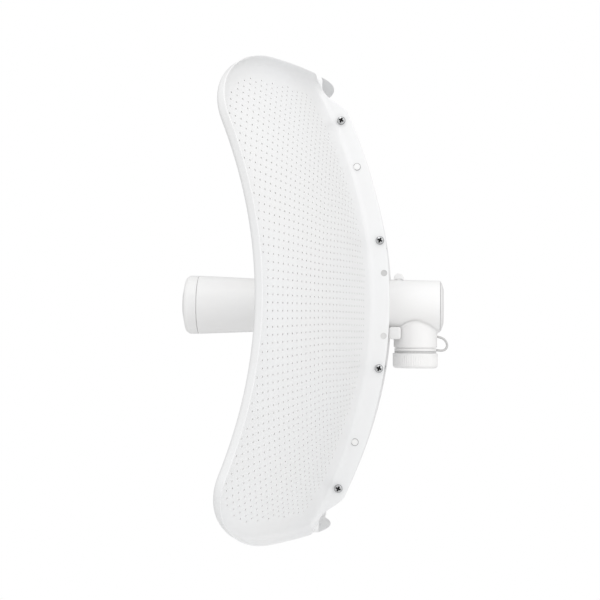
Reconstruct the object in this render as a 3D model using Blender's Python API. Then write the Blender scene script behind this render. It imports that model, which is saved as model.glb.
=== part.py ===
"""Parabolic dish antenna, about 0.52 m wide and 0.40 m tall.

The reflector is three pressed panels bolted flange to flange: a narrow centre
panel and two wings. A feed tube stands in front of it and a round housing with
a capped cable port sits behind it. +Y points backwards along the dish's axis,
so the dish looks along -Y, +X is the wing that faces the viewer and +Z is up.
The shapes are worked out from the dish's vertex. The model's origin is the
place on the hub's rear face where a pole bracket clamps the antenna.
"""

import math

import bmesh
import bpy
from mathutils import Matrix, Vector

MM = 0.001

# Driving dimensions, in millimetres
FOCAL = 183.5             # focal length of the panels' rear face
HALF_WIDTH = 258.0        # from the axis to the fold at a wing's outer edge
EDGE_BOW = 4.0            # how much nearer the axis that edge is in its middle
HALF_HEIGHT = 192.5       # from the axis to the fold at a wing's top or bottom edge
CENTRE_HALF_HEIGHT = 198.5
CORNER_WIDE = 88.0        # a wing's outer corner is a quarter of an ellipse
CORNER_TALL = 57.0
INNER_CORNER = (16.0, 9.0)
CENTRE_CORNER = (3.0, 3.0)
SHEET = 1.2               # thickness of the sheet
LIP = 7.4                 # lip round a wing, square to the sheet
END_LIP = 7.7             # lip at the centre panel's ends, beside the joints
END_LIP_ARCH = 2.7        # how much higher that lip is in the middle
FLANGE = 16.0             # height of the bolted flanges
NOTCH = 4.2               # what is left of them in the notch near each end
FLANGE_FACE = 65.0        # from the axis to the face of a wing's flange
GAP = 0.3                 # clearance between pieces that touch on the real antenna

# The joint between the centre panel and a wing
SEAM = FLANGE_FACE - SHEET - 0.5 * GAP

# Flange fasteners: distance above and below the axis, and place along the axis
SCREWS = ((55.4, 2.0), (159.4, -32.3))
PEG = (119.2, -18.3)
PLUG = (27.2, 5.8)
SHANK_RADIUS = 1.9
WASHER_RADIUS = 3.75
WASHER_THICK = 0.8
HEAD_RADIUS = 3.2
HEAD_HEIGHT = 2.3
NUT_FLATS = 7.0
NUT_THICK = 3.0
PEG_RADIUS = 2.7
PLUG_RADIUS = 2.6

# Feed in front of the dish and housing behind it
FEED_TIP_Y = -177.6
FEED_SHOULDER_Y = -172.2
FEED_SEAM_Y = -163.0
FEED_TIP_RADIUS = 26.4
FEED_ROOT_RADIUS = 19.3
HUB_FACE_Y = 9.5          # rear face of the hub ring, where a bracket clamps
HUB_RADIUS = 33.0
HOUSING_START_Y = 1.9
HOUSING_SEAM_Y = 55.2
HOUSING_TIP_Y = 58.4
HOUSING_FRONT_RADIUS = 24.1
HOUSING_REAR_RADIUS = 23.2
LUG_Y = 18.1
LUG_RADIUS = 4.6
LUG_TOP = 29.6

# Cable port under the housing
PORT_Y = 33.3
NECK_RADIUS = 19.5
NECK_END_Z = -37.0
SPIGOT_RADIUS = 16.5
SPIGOT_END_Z = -52.4
RING_TOP_Z = -38.2
RING_END_Z = -40.3
CAP_TOP_Z = -42.3
CAP_END_Z = -55.8
CAP_RADIUS = 20.3

MOUNT_POINT = Vector((0.0, HUB_FACE_Y, 29.0)) * MM

ROUND = 32                # sides of the larger round pieces


def clear_scene():
    for obj in list(bpy.data.objects):
        bpy.data.objects.remove(obj, do_unlink=True)


def make_material(name, color, roughness, metallic=0.0):
    material = bpy.data.materials.new(name)
    material.use_nodes = True
    shader = material.node_tree.nodes["Principled BSDF"]
    shader.inputs["Base Color"].default_value = (*color, 1.0)
    shader.inputs["Roughness"].default_value = roughness
    shader.inputs["Metallic"].default_value = metallic
    return material


def surface_y(x, z):
    """Rear face of the reflector: the paraboloid, with its vertex at the origin."""
    return -(x * x + z * z) / (4.0 * FOCAL)


def add_object(name, bm, material, parent, smooth_angle=None):
    """Close a bmesh that is in millimetres into a named object in metres."""
    bmesh.ops.recalc_face_normals(bm, faces=bm.faces)
    bmesh.ops.scale(bm, vec=(MM, MM, MM), verts=bm.verts)
    mesh = bpy.data.meshes.new(name)
    bm.to_mesh(mesh)
    bm.free()
    if smooth_angle:
        mesh.shade_smooth()
        mesh.set_sharp_from_angle(angle=math.radians(smooth_angle))
    obj = bpy.data.objects.new(name, mesh)
    obj.data.materials.append(material)
    bpy.context.collection.objects.link(obj)
    obj.parent = parent
    return obj


def turned(profile, sides=ROUND):
    """Spin (radius, height) points round the Z axis into a closed solid.

    A point with no radius is a pole, where the faces meet in a fan.
    """
    bm = bmesh.new()
    rings = []
    for radius, height in profile:
        if radius == 0.0:
            rings.append([bm.verts.new((0.0, 0.0, height))])
            continue
        ring = []
        for k in range(sides):
            angle = 2.0 * math.pi * k / sides
            ring.append(bm.verts.new((radius * math.cos(angle), radius * math.sin(angle), height)))
        rings.append(ring)
    pairs = list(zip(rings, rings[1:]))
    if profile[0][0] > 0.0:
        pairs.append((rings[-1], rings[0]))
    for low, high in pairs:
        for k in range(sides):
            corners = [low[k % len(low)], low[(k + 1) % sides % len(low)],
                       high[(k + 1) % sides % len(high)], high[k % len(high)]]
            bm.faces.new(list(dict.fromkeys(corners)))
    return bm


def aim(bm, direction, origin):
    """Turn a shape made along +Z to point along a direction, and move it."""
    turn = Vector((0.0, 0.0, 1.0)).rotation_difference(Vector(direction)).to_matrix().to_4x4()
    bmesh.ops.transform(bm, matrix=Matrix.Translation(origin) @ turn, verts=bm.verts)
    return bm


def block(low, high):
    """A plain box between two corners."""
    bm = bmesh.new()
    bmesh.ops.create_cube(bm, size=1.0)
    for vert in bm.verts:
        for axis in range(3):
            vert.co[axis] = high[axis] if vert.co[axis] > 0.0 else low[axis]
    return bm


def cutter(name, bm, parent):
    """A hidden shape that a Boolean takes away from a piece."""
    bmesh.ops.recalc_face_normals(bm, faces=bm.faces)
    bmesh.ops.scale(bm, vec=(MM, MM, MM), verts=bm.verts)
    mesh = bpy.data.meshes.new(name)
    bm.to_mesh(mesh)
    bm.free()
    obj = bpy.data.objects.new(name, mesh)
    bpy.context.collection.objects.link(obj)
    obj.parent = parent
    obj.hide_render = True
    obj.display_type = "WIRE"
    return obj


def boolean(obj, tool, operation="DIFFERENCE"):
    modifier = obj.modifiers.new(tool.name, "BOOLEAN")
    modifier.object = tool
    modifier.operation = operation
    modifier.solver = "EXACT"


def smooth_step(value, start, end):
    """Rise from 0 to 1 between start and end, level at both."""
    t = min(max((value - start) / (end - start), 0.0), 1.0)
    return t * t * (3.0 - 2.0 * t)


def wing_flange_height(z):
    """Full height, with an S-shaped drop to a notch near each end."""
    return FLANGE - (FLANGE - NOTCH) * smooth_step(abs(z), 166.5, 184.0)


def centre_flange_height(z):
    """As the wing's flange, and higher again where it meets the end lip."""
    full = FLANGE - 0.3
    low = NOTCH + 0.8
    drop = (full - low) * smooth_step(abs(z), 166.5, 183.0)
    rise = (END_LIP - low) * smooth_step(abs(z), 180.0, CENTRE_HALF_HEIGHT - 3.0)
    return full - drop + rise


def corner_cut(depth, wide, tall):
    """How far an elliptical corner is cut back, at a depth below the edge."""
    if depth >= tall:
        return 0.0
    return wide * (1.0 - math.sqrt(1.0 - ((tall - depth) / tall) ** 2))


def row_heights(half_height, inset):
    """Heights of a panel's rows: even, then closer together in the corners."""
    straight = half_height - CORNER_TALL
    steps = 16
    arc_steps = 12
    rows = [-straight + 2.0 * straight * k / steps for k in range(steps + 1)]
    for k in range(1, arc_steps + 1):
        rise = (CORNER_TALL - inset) * math.sin(0.5 * math.pi * k / arc_steps)
        rows.append(straight + rise)
        rows.insert(0, -straight - rise)
    return rows


def tray_grid(x_start, x_end, half_height, corner_start, corner_end, inset, columns, bow=0.0):
    """Grid of (x, z) points over a panel, set in from its outline.

    The corners at x_start and x_end are quarter ellipses, each given as
    (wide, tall). The edge at x_end bows inwards in its middle.
    """
    grid = []
    straight = half_height - CORNER_TALL
    for z in row_heights(half_height, inset):
        depth = half_height - inset - abs(z)
        start = x_start + inset + corner_cut(depth, corner_start[0] - inset, corner_start[1] - inset)
        end = x_end - inset - corner_cut(depth, corner_end[0] - inset, corner_end[1] - inset)
        end -= bow * max(1.0 - (z / straight) ** 2, 0.0)
        grid.append([(start + (end - start) * i / columns, z) for i in range(columns + 1)])
    return grid


def perimeter(grid):
    """Index pairs round the grid's edge, in order."""
    rows, columns = len(grid) - 1, len(grid[0]) - 1
    loop = [(0, i) for i in range(columns)]
    loop += [(j, columns) for j in range(rows)]
    loop += [(rows, i) for i in range(columns, 0, -1)]
    loop += [(j, 0) for j in range(rows, 0, -1)]
    return loop


def tray(inner, outer, wall):
    """A curved panel whose edges are turned back into walls.

    inner and outer are matching grids: the inner one is the panel between the
    walls, and the outer one is the walls' outline. wall(j, i) gives the way
    from the panel to the wall's edge, as a vector.
    """
    bm = bmesh.new()
    rows, columns = len(inner), len(inner[0])
    back = [[bm.verts.new((x, surface_y(x, z), z)) for x, z in row] for row in inner]
    front = [[bm.verts.new((x, surface_y(x, z) - SHEET, z)) for x, z in row] for row in inner]
    for j in range(rows - 1):
        for i in range(columns - 1):
            for layer in (back, front):
                bm.faces.new((layer[j][i], layer[j][i + 1], layer[j + 1][i + 1], layer[j + 1][i]))
    ribbons = []
    for j, i in perimeter(inner):
        x, z = inner[j][i]
        out_x, out_z = outer[j][i]
        root = Vector((out_x, surface_y(out_x, out_z) - SHEET, out_z))
        ribbons.append((
            back[j][i],
            bm.verts.new(Vector((x, surface_y(x, z), z)) + wall(j, i)),
            bm.verts.new(Vector((out_x, surface_y(out_x, out_z), out_z)) + wall(j, i)),
            bm.verts.new(root),
            front[j][i],
        ))
    for first, second in zip(ribbons, ribbons[1:] + ribbons[:1]):
        for k in range(4):
            bm.faces.new((first[k], first[k + 1], second[k + 1], second[k]))
    return bm


def square_to_sheet(x, z, height):
    """A lip of this height that stands square to the sheet's rear face."""
    return Vector((x, 2.0 * FOCAL, z)).normalized() * height


def wing_mesh():
    columns = 12
    start = SEAM + 0.5 * GAP
    outer_corner = (CORNER_WIDE, CORNER_TALL)
    inner = tray_grid(start, HALF_WIDTH, HALF_HEIGHT, INNER_CORNER, outer_corner, SHEET, columns, EDGE_BOW)
    outer = tray_grid(start, HALF_WIDTH, HALF_HEIGHT, INNER_CORNER, outer_corner, 0.0, columns, EDGE_BOW)
    last = len(inner) - 1

    def wall(j, i):
        x, z = inner[j][i]
        if i == 0:
            height = wing_flange_height(z)
            lean = z / (2.0 * FOCAL) * smooth_step(abs(z), HALF_HEIGHT - INNER_CORNER[1], HALF_HEIGHT)
            return Vector((0.0, height, height * lean))
        if j in (0, last):
            rise = smooth_step(x, start + INNER_CORNER[0], start + 34.0)
            return square_to_sheet(0.5 * x, z, NOTCH + 0.6 + (LIP - NOTCH - 0.6) * rise)
        return square_to_sheet(x, z, LIP)

    return tray(inner, outer, wall)


def centre_mesh():
    columns = 10
    half = SEAM - 0.5 * GAP
    inner = tray_grid(-half, half, CENTRE_HALF_HEIGHT, CENTRE_CORNER, CENTRE_CORNER, SHEET, columns)
    outer = tray_grid(-half, half, CENTRE_HALF_HEIGHT, CENTRE_CORNER, CENTRE_CORNER, 0.0, columns)

    def wall(j, i):
        x, z = inner[j][i]
        if i in (0, columns):
            return Vector((0.0, centre_flange_height(z), 0.0))
        return Vector((0.0, END_LIP + END_LIP_ARCH * (1.0 - (x / half) ** 2), 0.0))

    return tray(inner, outer, wall)


def hole_cutter(name, parent, side):
    """All the holes through one pair of flanges, as one set of short rods."""
    bm = bmesh.new()
    holes = [(z, y, SHANK_RADIUS + GAP) for z, y in SCREWS]
    holes += [(*PEG, PEG_RADIUS + GAP), (*PLUG, PLUG_RADIUS + GAP)]
    for z, y, radius in holes:
        for sign in (-1.0, 1.0):
            rod = turned([(0.0, -6.0), (radius, -6.0), (radius, 6.0), (0.0, 6.0)], 16)
            aim(rod, (1.0, 0.0, 0.0), (side * SEAM, y, sign * z))
            mesh = bpy.data.meshes.new("rod")
            rod.to_mesh(mesh)
            rod.free()
            bm.from_mesh(mesh)
            bpy.data.meshes.remove(mesh)
    return cutter(name, bm, parent)


def build_reflector(parent, white):
    near = add_object("near_wing", wing_mesh(), white, parent, 35.0)
    far_mesh = wing_mesh()
    bmesh.ops.scale(far_mesh, vec=(-1.0, 1.0, 1.0), verts=far_mesh.verts)
    far = add_object("far_wing", far_mesh, white, parent, 35.0)
    centre = add_object("centre_panel", centre_mesh(), white, parent, 35.0)
    near_holes = hole_cutter("near_hole_cutter", parent, 1.0)
    far_holes = hole_cutter("far_hole_cutter", parent, -1.0)
    boolean(near, near_holes)
    boolean(far, far_holes)
    boolean(centre, near_holes)
    boolean(centre, far_holes)
    bore = turned([(0.0, -12.0), (FEED_ROOT_RADIUS + 0.4, -12.0), (FEED_ROOT_RADIUS + 0.4, 12.0), (0.0, 12.0)])
    boolean(centre, cutter("feed_bore_cutter", aim(bore, (0.0, 1.0, 0.0), (0.0, 0.0, 0.0)), parent))


def screw_mesh():
    """Washer, domed head with a round drive recess, and shank, along +Z from the flange."""
    flange_face = SHEET + 0.5 * GAP
    seat = flange_face + GAP
    top = seat + WASHER_THICK
    shank_end = -(SHEET + NUT_THICK + 2.0)
    profile = [
        (0.0, shank_end),
        (SHANK_RADIUS, shank_end),
        (SHANK_RADIUS, seat),
        (WASHER_RADIUS, seat),
        (WASHER_RADIUS, top),
        (HEAD_RADIUS, top),
        (HEAD_RADIUS, top + 0.45 * HEAD_HEIGHT),
        (0.8 * HEAD_RADIUS, top + 0.85 * HEAD_HEIGHT),
        (0.5 * HEAD_RADIUS, top + HEAD_HEIGHT),
        (0.45 * HEAD_RADIUS, top + 0.4 * HEAD_HEIGHT),
        (0.0, top + 0.3 * HEAD_HEIGHT),
    ]
    return turned(profile, 16)


def nut_mesh():
    """A hexagon nut round the shank, behind the centre panel's flange."""
    start = -(SHEET + 0.5 * GAP + GAP + NUT_THICK)
    corner = 0.5 * NUT_FLATS / math.cos(math.radians(30.0))
    bore = SHANK_RADIUS + GAP
    bm = bmesh.new()
    loops = []
    for radius, height in ((corner, start), (corner, start + NUT_THICK), (bore, start + NUT_THICK), (bore, start)):
        ring = []
        for k in range(12):
            angle = math.radians(30.0 * k)
            flat = math.cos(math.radians(30.0)) / math.cos(math.radians((30.0 * k + 30.0) % 60.0 - 30.0))
            reach = radius * flat if radius == corner else radius
            ring.append(bm.verts.new((reach * math.cos(angle), reach * math.sin(angle), height)))
        loops.append(ring)
    for low, high in zip(loops, loops[1:] + loops[:1]):
        for k in range(12):
            bm.faces.new((low[k], low[(k + 1) % 12], high[(k + 1) % 12], high[k]))
    return bm


def pin_mesh(radius, proud):
    """A short round pin through both flanges, with a rounded end on the wing's side."""
    start = -(SHEET + 0.5 * GAP)
    end = SHEET + 0.5 * GAP + proud
    profile = [
        (0.0, start),
        (radius, start),
        (radius, end - 0.5),
        (radius - 0.45, end),
        (0.0, end),
    ]
    return turned(profile, 16)


def build_fasteners(parent, steel, white, grey):
    for side, side_name in ((1.0, "near"), (-1.0, "far")):
        number = 0
        for z, y in ((SCREWS[1][0], SCREWS[1][1]), SCREWS[0], (-SCREWS[0][0], SCREWS[0][1]),
                     (-SCREWS[1][0], SCREWS[1][1])):
            number += 1
            place = (side * SEAM, y, z)
            direction = (side, 0.0, 0.0)
            add_object(f"{side_name}_screw_{number}", aim(screw_mesh(), direction, place), steel, parent, 40.0)
            add_object(f"{side_name}_nut_{number}", aim(nut_mesh(), direction, place), steel, parent)
        for sign, level in ((1.0, "upper"), (-1.0, "lower")):
            peg = aim(pin_mesh(PEG_RADIUS, 1.1), (side, 0.0, 0.0), (side * SEAM, PEG[1], sign * PEG[0]))
            add_object(f"{side_name}_peg_{level}", peg, white, parent, 40.0)
            plug = aim(pin_mesh(PLUG_RADIUS, -0.3), (side, 0.0, 0.0), (side * SEAM, PLUG[1], sign * PLUG[0]))
            add_object(f"{side_name}_plug_{level}", plug, grey, parent, 40.0)


def build_feed(parent, white):
    along = (0.0, 1.0, 0.0)
    origin = (0.0, 0.0, 0.0)
    shoulder = FEED_SHOULDER_Y
    cap = [(0.0, FEED_TIP_Y), (11.0, FEED_TIP_Y + 0.4), (18.6, FEED_TIP_Y + 1.6), (23.4, FEED_TIP_Y + 3.5),
           (25.7, shoulder - 1.0), (FEED_TIP_RADIUS, shoulder + 0.6),
           (FEED_TIP_RADIUS, FEED_SEAM_Y - 0.5 * GAP), (0.0, FEED_SEAM_Y - 0.5 * GAP)]
    add_object("feed_cap", aim(turned(cap), along, origin), white, parent, 40.0)
    tube = [(0.0, FEED_SEAM_Y + 0.5 * GAP), (FEED_TIP_RADIUS, FEED_SEAM_Y + 0.5 * GAP),
            (FEED_ROOT_RADIUS, 0.0), (FEED_ROOT_RADIUS, HOUSING_START_Y - GAP), (0.0, HOUSING_START_Y - GAP)]
    add_object("feed_tube", aim(turned(tube), along, origin), white, parent, 40.0)


def housing_radius(y):
    t = (y - HOUSING_START_Y) / (HOUSING_SEAM_Y - HOUSING_START_Y)
    return HOUSING_FRONT_RADIUS + (HOUSING_REAR_RADIUS - HOUSING_FRONT_RADIUS) * t


def housing_cutter(name, parent, clearance):
    start, end = HOUSING_START_Y - 5.0, HOUSING_TIP_Y + 5.0
    profile = [(0.0, start), (housing_radius(start) + clearance, start),
               (housing_radius(end) + clearance, end), (0.0, end)]
    return cutter(name, aim(turned(profile, 48), (0.0, 1.0, 0.0), (0.0, 0.0, 0.0)), parent)


def build_housing(parent, white):
    along = (0.0, 1.0, 0.0)
    origin = (0.0, 0.0, 0.0)
    seam = HOUSING_SEAM_Y
    body = [(0.0, HOUSING_START_Y), (housing_radius(HOUSING_START_Y), HOUSING_START_Y),
            (housing_radius(seam), seam - 0.5 * GAP), (0.0, seam - 0.5 * GAP)]
    add_object("rear_housing", aim(turned(body, 48), along, origin), white, parent, 40.0)
    lid = [(0.0, seam + 0.5 * GAP), (22.6, seam + 0.5 * GAP), (20.4, seam + 1.4), (17.4, HOUSING_TIP_Y - 0.9),
           (14.2, HOUSING_TIP_Y), (0.0, HOUSING_TIP_Y)]
    add_object("rear_end_cap", aim(turned(lid), along, origin), white, parent, 40.0)
    ring_low, ring_high = -0.5, HUB_FACE_Y
    bore = housing_radius(0.0) + GAP
    ring = [(bore, ring_low), (HUB_RADIUS, ring_low), (HUB_RADIUS, ring_high), (bore, ring_high)]
    add_object("hub_ring", aim(turned(ring, 48), along, origin), white, parent, 40.0)
    for side, side_name in ((1.0, "near"), (-1.0, "far")):
        low = (min(side * 15.6, side * 22.4), HUB_FACE_Y + GAP, -30.0)
        high = (max(side * 15.6, side * 22.4), 20.3, -18.9)
        add_object(f"hub_latch_{side_name}", block(low, high), white, parent)
    lug = turned([(0.0, -4.0), (LUG_RADIUS, -4.0), (LUG_RADIUS, 4.0), (0.0, 4.0)], 24)
    aim(lug, (1.0, 0.0, 0.0), (0.0, LUG_Y, LUG_TOP - LUG_RADIUS))
    lug_object = add_object("top_lug", lug, white, parent, 40.0)
    boolean(lug_object, housing_cutter("lug_seat_cutter", parent, GAP))


def build_port(parent, white, rubber):
    down = (0.0, 0.0, 1.0)
    place = (0.0, PORT_Y, 0.0)
    neck = [(0.0, SPIGOT_END_Z), (SPIGOT_RADIUS, SPIGOT_END_Z), (SPIGOT_RADIUS, NECK_END_Z), (NECK_RADIUS, NECK_END_Z),
            (NECK_RADIUS, 0.0), (0.0, 0.0)]
    neck_object = add_object("port_neck", aim(turned(neck, 48), down, place), white, parent, 40.0)
    boolean(neck_object, housing_cutter("neck_seat_cutter", parent, GAP))
    inside = SPIGOT_RADIUS + GAP
    ring = 18.9
    strap_ring = [(inside, RING_END_Z), (ring - 0.4, RING_END_Z), (ring, RING_END_Z + 0.4), (ring, RING_TOP_Z - 0.4),
                  (ring - 0.4, RING_TOP_Z), (inside, RING_TOP_Z)]
    add_object("strap_ring", aim(turned(strap_ring), down, place), white, parent, 40.0)
    seal = [(inside, CAP_TOP_Z + GAP), (18.3, CAP_TOP_Z + GAP), (18.3, RING_END_Z - GAP), (inside, RING_END_Z - GAP)]
    add_object("port_seal", aim(turned(seal), down, place), rubber, parent, 40.0)
    cap = [(0.0, CAP_END_Z), (17.6, CAP_END_Z), (19.4, CAP_END_Z + 0.9), (CAP_RADIUS, CAP_END_Z + 2.6),
           (CAP_RADIUS, CAP_TOP_Z - 0.6), (CAP_RADIUS - 0.5, CAP_TOP_Z), (inside, CAP_TOP_Z),
           (inside, SPIGOT_END_Z - GAP), (0.0, SPIGOT_END_Z - GAP)]
    add_object("port_cap", aim(turned(cap), down, place), white, parent, 40.0)
    build_strap(parent, white)


def build_strap(parent, white):
    """The bent strap that keeps the port's cap on the housing when it is undone."""
    neck_back = PORT_Y + NECK_RADIUS
    ring_back = PORT_Y + 18.9
    route = [(neck_back + 0.4, -27.4), (neck_back + 3.8, -28.3), (neck_back + 6.8, -30.2), (neck_back + 8.7, -33.2),
             (neck_back + 8.8, -36.4), (neck_back + 7.0, -38.9), (neck_back + 4.0, -39.8), (ring_back + 0.4, -39.3)]
    curve = bpy.data.curves.new("cap_strap_route", "CURVE")
    curve.dimensions = "3D"
    curve.bevel_depth = 0.95 * MM
    curve.bevel_resolution = 2
    curve.use_fill_caps = True
    spline = curve.splines.new("POLY")
    spline.points.add(len(route) - 1)
    for point, (y, z) in zip(spline.points, route):
        point.co = (0.0, y * MM, z * MM, 1.0)
    obj = bpy.data.objects.new("cap_strap", curve)
    obj.data.materials.append(white)
    bpy.context.collection.objects.link(obj)
    obj.parent = parent


def main():
    clear_scene()
    white = make_material("white_plastic", (0.86, 0.86, 0.86), 0.42)
    grey = make_material("grey_plastic", (0.6, 0.61, 0.62), 0.5)
    steel = make_material("screw_steel", (0.55, 0.55, 0.56), 0.28, 1.0)
    rubber = make_material("seal_rubber", (0.12, 0.12, 0.13), 0.7)
    vertex = bpy.data.objects.new("dish_vertex", None)
    vertex.location = -MOUNT_POINT
    bpy.context.collection.objects.link(vertex)
    build_reflector(vertex, white)
    build_fasteners(vertex, steel, white, grey)
    build_feed(vertex, white)
    build_housing(vertex, white)
    build_port(vertex, white, rubber)


main()
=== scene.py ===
# %% [markdown]
# # A parabolic dish antenna in three punched panels
#
# A point-to-point dish: two wings are bolted flange to flange to a narrow centre panel, and the
# panels are punched all over with small holes so that wind and rain pass through. A feed tube
# stands in front, and behind sits a round housing with a capped cable port.
#
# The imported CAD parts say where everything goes. This script puts a finished surface in the place
# of each one. Lengths are millimetres from the dish's vertex, with +Y backwards along the axis,
# +X to the wing that faces the viewer and +Z up, and they become metres in the model's own frame
# when a mesh is made.

import math

import bpy
import numpy as np
from mathutils import Matrix
from mathutils.geometry import delaunay_2d_cdt


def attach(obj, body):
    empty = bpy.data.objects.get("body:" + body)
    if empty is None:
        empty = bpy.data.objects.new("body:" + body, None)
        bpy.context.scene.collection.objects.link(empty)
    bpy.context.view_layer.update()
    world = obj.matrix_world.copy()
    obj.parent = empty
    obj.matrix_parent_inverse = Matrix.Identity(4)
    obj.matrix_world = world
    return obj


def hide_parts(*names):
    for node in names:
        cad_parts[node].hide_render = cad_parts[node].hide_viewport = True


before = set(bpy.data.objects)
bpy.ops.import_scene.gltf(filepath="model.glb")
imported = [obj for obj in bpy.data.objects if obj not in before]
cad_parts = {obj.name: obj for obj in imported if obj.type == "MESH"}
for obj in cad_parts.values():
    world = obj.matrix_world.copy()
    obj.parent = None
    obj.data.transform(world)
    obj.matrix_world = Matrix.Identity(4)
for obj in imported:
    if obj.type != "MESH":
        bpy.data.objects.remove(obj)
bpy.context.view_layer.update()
MODEL_ORIGIN = np.array([0.0, 9.5, 29.0])
print("parts in the frame:", len(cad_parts))

# %% [markdown]
# ## The reflector's own numbers
#
# The rear face of every panel is one paraboloid. A parabola is the shape that sends every ray
# from the feed out along the axis, which is why the panels can be cut apart and still work as
# one mirror.

# %% The shape of the mirror
FOCAL = 183.5


def surface_y(x, z):
    """Depth of the mirror: minus the squared distance from the axis over four focal lengths."""
    return -(x * x + z * z) / (4.0 * FOCAL)


def surface_normal(x, z):
    """Unit vector square to the mirror's rear face, which leans outwards as x and z grow."""
    normal = np.stack([x, np.full_like(x, 2.0 * FOCAL), z], -1)
    return normal / np.linalg.norm(normal, axis=-1, keepdims=True)


def smooth(value, start, end):
    """Rise from 0 to 1 between start and end, level at both: t squared times (3 - 2 t)."""
    t = np.clip((value - start) / (end - start), 0.0, 1.0)
    return t * t * (3.0 - 2.0 * t)


def unit(vectors):
    return vectors / np.linalg.norm(vectors, axis=-1, keepdims=True)


# %% [markdown]
# ## The camera and the room
#
# The camera stands about a metre and a half from the dish, level with its middle and a little in
# front of square on, as the photograph has it. The room is a pale floor under an even white sky
# that is a little brighter above than below, so the white object shows soft shades and no hard
# shadow.

# %% Place the camera
UNIT = 0.904
DISTANCE = 1660.0
turn, tilt, roll = (math.radians(a) for a in (3.94, -1.45, 0.5))
toward = np.array([math.cos(turn) * math.cos(tilt), math.sin(turn) * math.cos(tilt), math.sin(tilt)])
level_right = np.array([-math.sin(turn), math.cos(turn), 0.0])
level_up = np.cross(toward, level_right)
right = level_right * math.cos(roll) + level_up * math.sin(roll)
up = level_up * math.cos(roll) - level_right * math.sin(roll)
eye = (toward * DISTANCE - 78.7 * right + 6.03 * up) * UNIT

camera_data = bpy.data.cameras.new("camera")
camera_data.lens = 18.0 / (300.0 / DISTANCE)
camera_data.sensor_width = 36.0
camera = bpy.data.objects.new("camera", camera_data)
bpy.context.scene.collection.objects.link(camera)
place = np.eye(4)
place[:3, 0] = right
place[:3, 1] = up
place[:3, 2] = toward
place[:3, 3] = (eye - MODEL_ORIGIN) * 0.001
camera.matrix_world = Matrix(place.tolist())
bpy.context.scene.camera = camera
bpy.context.scene.view_settings.view_transform = "Standard"
print("camera at", [round(v, 3) for v in place[:3, 3]])

# %% [markdown]
# ## Shader maths as Python expressions
#
# A finish is easier to read as a formula than as a list of links. `Number` wraps one output of a
# node, and the usual operators add the Math nodes for it.

# %% Numbers and materials


class Number:
    """One shader number. Adding, subtracting, multiplying or dividing makes a Math node."""

    def __init__(self, finish, socket):
        self.finish = finish
        self.socket = socket

    def math(self, operation, first, second):
        node = self.finish.node("ShaderNodeMath", {"operation": operation}, {0: first, 1: second})
        return Number(self.finish, node.outputs[0])

    def __add__(self, other):
        return self.math("ADD", self, other)

    def __radd__(self, other):
        return self.math("ADD", other, self)

    def __sub__(self, other):
        return self.math("SUBTRACT", self, other)

    def __rsub__(self, other):
        return self.math("SUBTRACT", other, self)

    def __mul__(self, other):
        return self.math("MULTIPLY", self, other)

    def __rmul__(self, other):
        return self.math("MULTIPLY", other, self)

    def __truediv__(self, other):
        return self.math("DIVIDE", self, other)

    def step(self, low, high):
        """0 below low, 1 above high and smooth between them."""
        node = self.finish.node(
            "ShaderNodeMapRange", {"interpolation_type": "SMOOTHSTEP"}, {0: self, 1: low, 2: high}
        )
        return Number(self.finish, node.outputs[0])


class Finish:
    """A material whose nodes are made one call at a time."""

    def __init__(self, name):
        self.material = bpy.data.materials.new(name)
        self.material.use_nodes = True
        self.tree = self.material.node_tree
        self.shader = self.tree.nodes["Principled BSDF"]
        self.place = self.node("ShaderNodeTexCoord").outputs["Object"]

    def plug(self, socket, value):
        """Link a number or an output to a socket, or set a plain value on it."""
        if isinstance(value, Number):
            value = value.socket
        if isinstance(value, bpy.types.NodeSocket):
            self.tree.links.new(value, socket)
        else:
            socket.default_value = value

    def node(self, kind, settings=None, inputs=None):
        node = self.tree.nodes.new(kind)
        for key, value in (settings or {}).items():
            setattr(node, key, value)
        for key, value in (inputs or {}).items():
            self.plug(node.inputs[key], value)
        return node

    def noise(self, scale, detail=2.0, roughness=0.5, vector=None):
        """Cloudy noise between 0 and 1, with this many lumps a metre."""
        inputs = {"Scale": scale, "Detail": detail, "Roughness": roughness, "Vector": vector or self.place}
        node = self.node("ShaderNodeTexNoise", {}, inputs)
        return Number(self, node.outputs[0])

    def blend(self, factor, first, second):
        """One colour turning into another as the factor goes from 0 to 1."""
        node = self.node("ShaderNodeMix", {"data_type": "RGBA"}, {"Factor": factor})
        self.plug(node.inputs["A"] if False else node.inputs[6], first)
        self.plug(node.inputs[7], second)
        return node.outputs[2]

    def attribute(self, name):
        """A number stored on the mesh itself."""
        return Number(self, self.node("ShaderNodeAttribute", {"attribute_name": name}).outputs["Fac"])

    def bump(self, height, depth, strength=1.0):
        """Send a height through a Bump node into the shader's Normal. The depth is in metres."""
        node = self.node("ShaderNodeBump", {}, {"Height": height, "Distance": depth, "Strength": strength})
        self.plug(self.shader.inputs["Normal"], node.outputs[0])

    def set(self, **values):
        for key, value in values.items():
            self.plug(self.shader.inputs[key.replace("_", " ")], value)
        return self.material


def grey(level, warmth=0.0):
    """A near-neutral colour. Warmth above 0 leans to yellow, below 0 to blue."""
    return (level * (1.0 + warmth), level, level * (1.0 - warmth), 1.0)


# %% [markdown]
# ## The finishes
#
# Powder coat is sprayed on dry and baked, so it has a fine orange peel: low lumps about a
# millimetre apart. The housing's plastic comes from a spark-eroded mould and has a finer, duller
# grain. Both are white, and rain leaves the faintest grey bloom on them.

# %% White powder coat on the panels


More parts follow.
